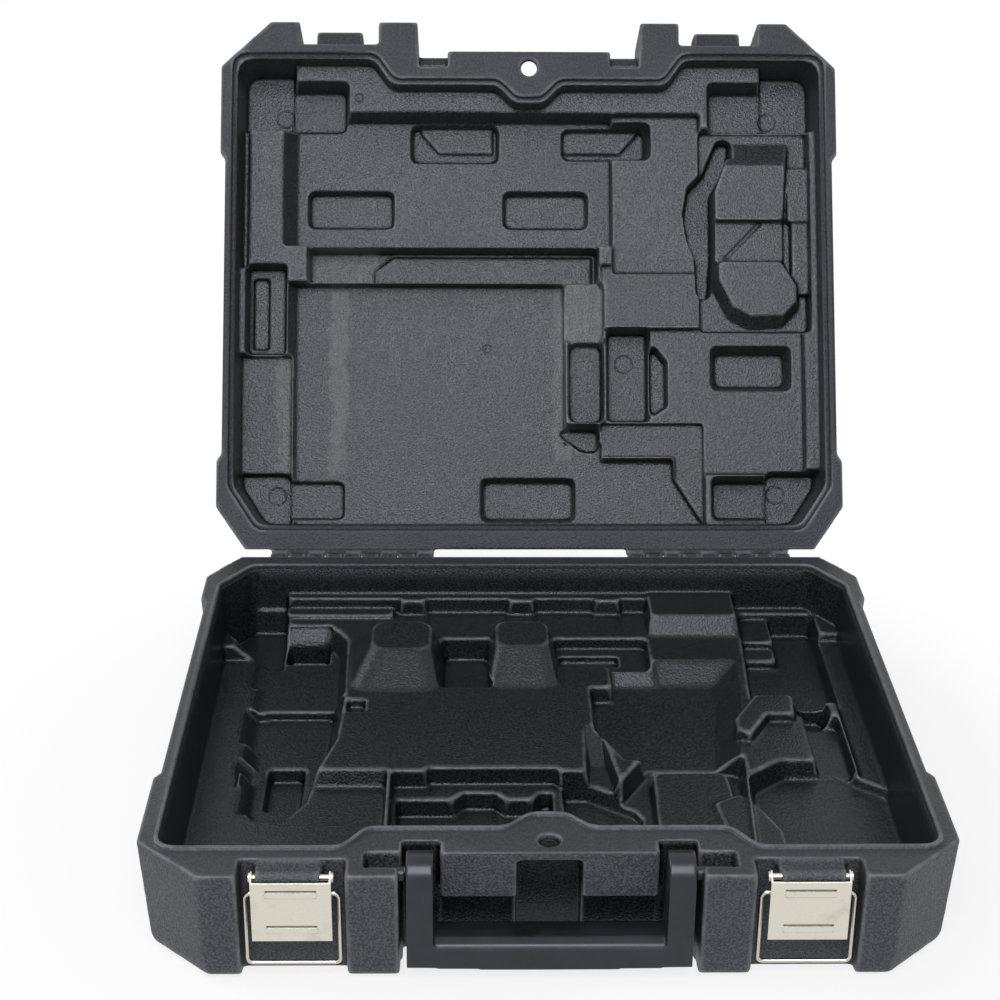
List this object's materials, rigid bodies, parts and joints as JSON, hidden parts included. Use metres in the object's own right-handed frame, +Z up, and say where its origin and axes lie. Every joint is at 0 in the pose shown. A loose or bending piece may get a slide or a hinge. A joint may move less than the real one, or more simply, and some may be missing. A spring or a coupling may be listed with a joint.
{
  "type": "drill case",
  "caption": "Open blow-moulded carrying case for a drill, with a formed tray in each half, a rear-hinged lid, a folding handle and wire-bail draw latches.",
  "frame": {"origin": "under the middle of the base's closed outline, on the surface that it rests on", "axes": "+X along the front to the right, +Y from the front to the hinges, +Z up"},
  "size_m": [0.4, 0.5692, 0.3587],
  "materials": {
    "moulded_plastic": "grained",
    "handle_plastic": "semi-gloss",
    "plated_steel": "satin",
    "pin_steel": "plain"
  },
  "bodies": {
    "base": {"base": "moulded_plastic", "hinge_pin_left": "pin_steel", "latch_pin_left": "pin_steel", "hinge_pin_right": "pin_steel", "latch_pin_right": "pin_steel"},
    "lid": {"lid": "moulded_plastic"},
    "handle": {"handle": "handle_plastic"},
    "lever_left": {"latch_lever_left": "plated_steel"},
    "bail_left": {"latch_bail_left": "plated_steel"},
    "lever_right": {"latch_lever_right": "plated_steel"},
    "bail_right": {"latch_bail_right": "plated_steel"}
  },
  "joints": [
    {"name": "lid_hinge", "type": "hinge", "parent": "base", "child": "lid", "pos_m": [0, 0.1797, 0.0569], "axis": [1, 0, 0], "range_deg": [0, 120]},
    {"name": "handle_pivot", "type": "hinge", "parent": "base", "child": "handle", "pos_m": [0, -0.16, 0.056], "axis": [-1, 0, 0], "range_deg": [0, 95]},
    {"name": "lever_pivot_left", "type": "hinge", "parent": "base", "child": "lever_left", "pos_m": [-0.1235, -0.166, 0.0582], "axis": [1, 0, 0], "range_deg": [-110, 0]},
    {"name": "bail_pivot_left", "type": "hinge", "parent": "lever_left", "child": "bail_left", "pos_m": [-0.1235, -0.1656, 0.0489], "axis": [-1, 0, 0], "range_deg": [0, 184.4]},
    {"name": "lever_pivot_right", "type": "hinge", "parent": "base", "child": "lever_right", "pos_m": [0.1235, -0.166, 0.0582], "axis": [1, 0, 0], "range_deg": [-110, 0]},
    {"name": "bail_pivot_right", "type": "hinge", "parent": "lever_right", "child": "bail_right", "pos_m": [0.1235, -0.1656, 0.0489], "axis": [-1, 0, 0], "range_deg": [0, 184.4]}
  ]
}
